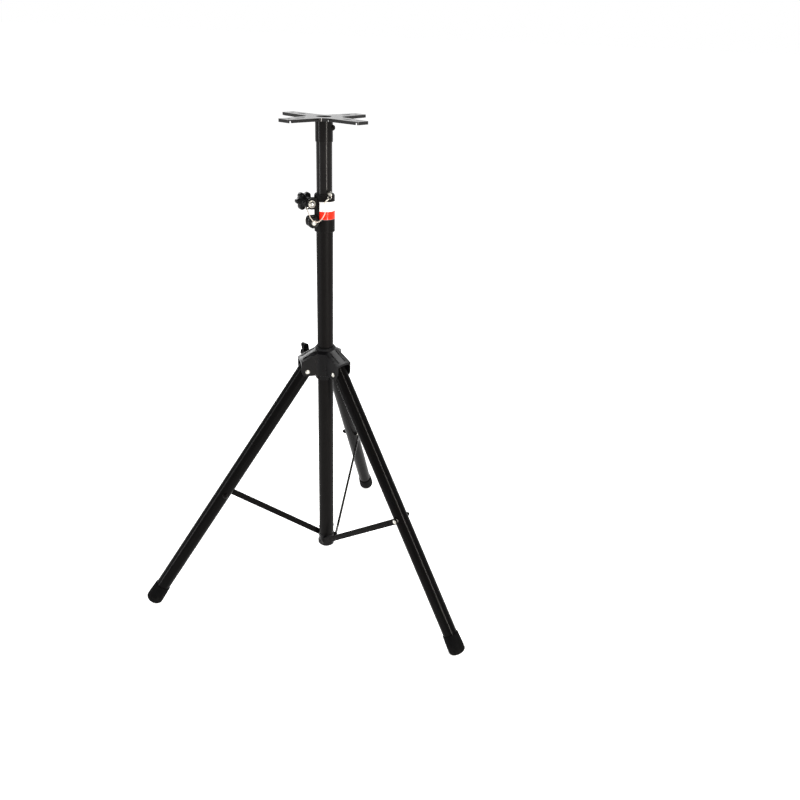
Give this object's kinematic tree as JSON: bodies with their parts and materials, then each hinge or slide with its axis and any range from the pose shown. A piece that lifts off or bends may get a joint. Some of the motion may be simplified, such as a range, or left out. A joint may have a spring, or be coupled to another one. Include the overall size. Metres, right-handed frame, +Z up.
{
  "type": "speaker tripod stand",
  "caption": "Folding tripod stand with a telescopic mast, a clamp collar with lock pin, braced legs and an X-shaped top plate for a loudspeaker.",
  "frame": {"origin": "where the axis of the mast meets the floor, with the legs spread", "axes": "+Z up along the mast, +Y towards the foot of the rear leg, +X completes the right-handed frame; the legs stand at 90, 210 and 330 degrees about +Z"},
  "size_m": [0.8362, 0.7298, 1.2047],
  "materials": {
    "black_paint": "satin black powder coat",
    "plate_paint": "smooth semi-gloss black paint",
    "black_plastic": "moulded satin black plastic",
    "knob_plastic": "moulded black plastic",
    "grey_nylon": "moulded nylon",
    "rubber": "matt rubber",
    "zinc": "bright zinc plate",
    "brass": "turned brass",
    "label": "vinyl sticker, plain bands with no print",
    "lanyard": "braided cord"
  },
  "bodies": {
    "outer_mast": {"outer_tube": "black_paint", "guide_bush": "grey_nylon", "clamp_collar": "black_paint", "collar_label": "label", "upper_clamp_bolt": "zinc", "clamp_washers": "zinc", "lower_clamp_nut": "zinc", "bottom_hub": "black_plastic", "hub_screws": "zinc", "lanyard_eyelet": "zinc", "lanyard_cord": "lanyard"},
    "inner_mast": {"inner_tube": "black_paint", "inner_slider": "grey_nylon", "inner_top_plug": "grey_nylon"},
    "top_plate": {"mount_plate": "plate_paint", "plate_socket": "black_paint"},
    "socket_screw": {"socket_screw": "zinc"},
    "star_knob": {"star_knob": "knob_plastic", "star_knob_insert": "brass"},
    "lower_knob": {"lower_knob": "knob_plastic", "lower_clamp_screw": "zinc"},
    "lock_pin": {"lock_pin": "zinc", "pin_ring": "zinc", "lanyard_ferrule": "zinc"},
    "leg_hub": {"leg_housing": "black_plastic", "housing_bush": "grey_nylon", "clamp_pad": "grey_nylon", "leg_pivot_rivets": "zinc"},
    "wing_knob": {"wing_knob": "knob_plastic", "wing_stud": "zinc"},
    "left_leg": {"left_leg_tube": "black_paint", "left_leg_plug": "grey_nylon", "left_foot_cap": "rubber", "left_strut_bolt": "zinc", "left_strut_spacer": "zinc", "left_strut_nut": "zinc"},
    "left_strut": {"left_strut_bar": "black_paint", "left_strut_hub_rivet": "zinc"},
    "right_leg": {"right_leg_tube": "black_paint", "right_leg_plug": "grey_nylon", "right_foot_cap": "rubber", "right_strut_bolt": "zinc", "right_strut_spacer": "zinc", "right_strut_nut": "zinc"},
    "right_strut": {"right_strut_bar": "black_paint", "right_strut_hub_rivet": "zinc"},
    "rear_leg": {"rear_leg_tube": "black_paint", "rear_leg_plug": "grey_nylon", "rear_foot_cap": "rubber", "rear_strut_bolt": "zinc", "rear_strut_spacer": "zinc", "rear_strut_nut": "zinc"},
    "rear_strut": {"rear_strut_bar": "black_paint", "rear_strut_hub_rivet": "zinc"}
  },
  "joints": [
    {"name": "mast_height", "type": "slide", "parent": "outer_mast", "child": "inner_mast", "axis": [0, 0, 1], "range_m": [0, 0.6]},
    {"name": "plate_swivel", "type": "hinge", "parent": "inner_mast", "child": "top_plate", "pos_m": [0, 0, 1.20216], "axis": [0, 0, 1], "continuous": true},
    {"name": "socket_screw_turn", "type": "hinge", "parent": "top_plate", "child": "socket_screw", "pos_m": [0.01919, 0.00067, 1.18277], "axis": [0.9994, 0.0349, 0], "continuous": true},
    {"name": "star_knob_turn", "type": "hinge", "parent": "outer_mast", "child": "star_knob", "pos_m": [-0.03236, -0.01649, 1.02367], "axis": [-0.6756, 0.7373, 0], "continuous": true},
    {"name": "lower_knob_turn", "type": "hinge", "parent": "outer_mast", "child": "lower_knob", "pos_m": [-0.0204, -0.02954, 0.98467], "axis": [0.6756, -0.7373, 0], "continuous": true},
    {"name": "lock_pin_pull", "type": "slide", "parent": "outer_mast", "child": "lock_pin", "axis": [0.6691, -0.7431, 0], "range_m": [0, 0.05]},
    {"name": "hub_slide", "type": "slide", "parent": "outer_mast", "child": "leg_hub", "axis": [0, 0, 1], "range_m": [0, 0.18731]},
    {"name": "wing_knob_turn", "type": "hinge", "parent": "leg_hub", "child": "wing_knob", "pos_m": [-0.05543, 0.032, 0.64219], "axis": [-0.866, 0.5, 0], "continuous": true},
    {"name": "left_leg_fold", "type": "hinge", "parent": "leg_hub", "child": "left_leg", "pos_m": [-0.04287, -0.02475, 0.62518], "axis": [0.5, -0.866, 0], "range_deg": [0, 30.99]},
    {"name": "left_strut_fold", "type": "hinge", "parent": "left_leg", "child": "left_strut", "pos_m": [-0.23927, -0.1139, 0.30679], "axis": [-0.5, 0.866, 0], "range_deg": [0, 74.06]},
    {"name": "right_leg_fold", "type": "hinge", "parent": "leg_hub", "child": "right_leg", "pos_m": [0.04287, -0.02475, 0.62518], "axis": [0.5, 0.866, 0], "range_deg": [0, 30.99]},
    {"name": "right_strut_fold", "type": "hinge", "parent": "right_leg", "child": "right_strut", "pos_m": [0.21827, -0.15027, 0.30679], "axis": [-0.5, -0.866, 0], "range_deg": [0, 74.06]},
    {"name": "rear_leg_fold", "type": "hinge", "parent": "leg_hub", "child": "rear_leg", "pos_m": [0, 0.0495, 0.62518], "axis": [-1, 0, 0], "range_deg": [0, 30.99]},
    {"name": "rear_strut_fold", "type": "hinge", "parent": "rear_leg", "child": "rear_strut", "pos_m": [0.021, 0.26416, 0.30679], "axis": [1, 0, 0], "range_deg": [0, 74.06]}
  ],
  "couplings": [
    {"joint": "left_leg_fold", "follows": "hub_slide", "rad_per_m": 2.8874},
    {"joint": "left_strut_fold", "follows": "hub_slide", "rad_per_m": 6.9004},
    {"joint": "right_leg_fold", "follows": "hub_slide", "rad_per_m": 2.8874},
    {"joint": "right_strut_fold", "follows": "hub_slide", "rad_per_m": 6.9004},
    {"joint": "rear_leg_fold", "follows": "hub_slide", "rad_per_m": 2.8874},
    {"joint": "rear_strut_fold", "follows": "hub_slide", "rad_per_m": 6.9004}
  ]
}
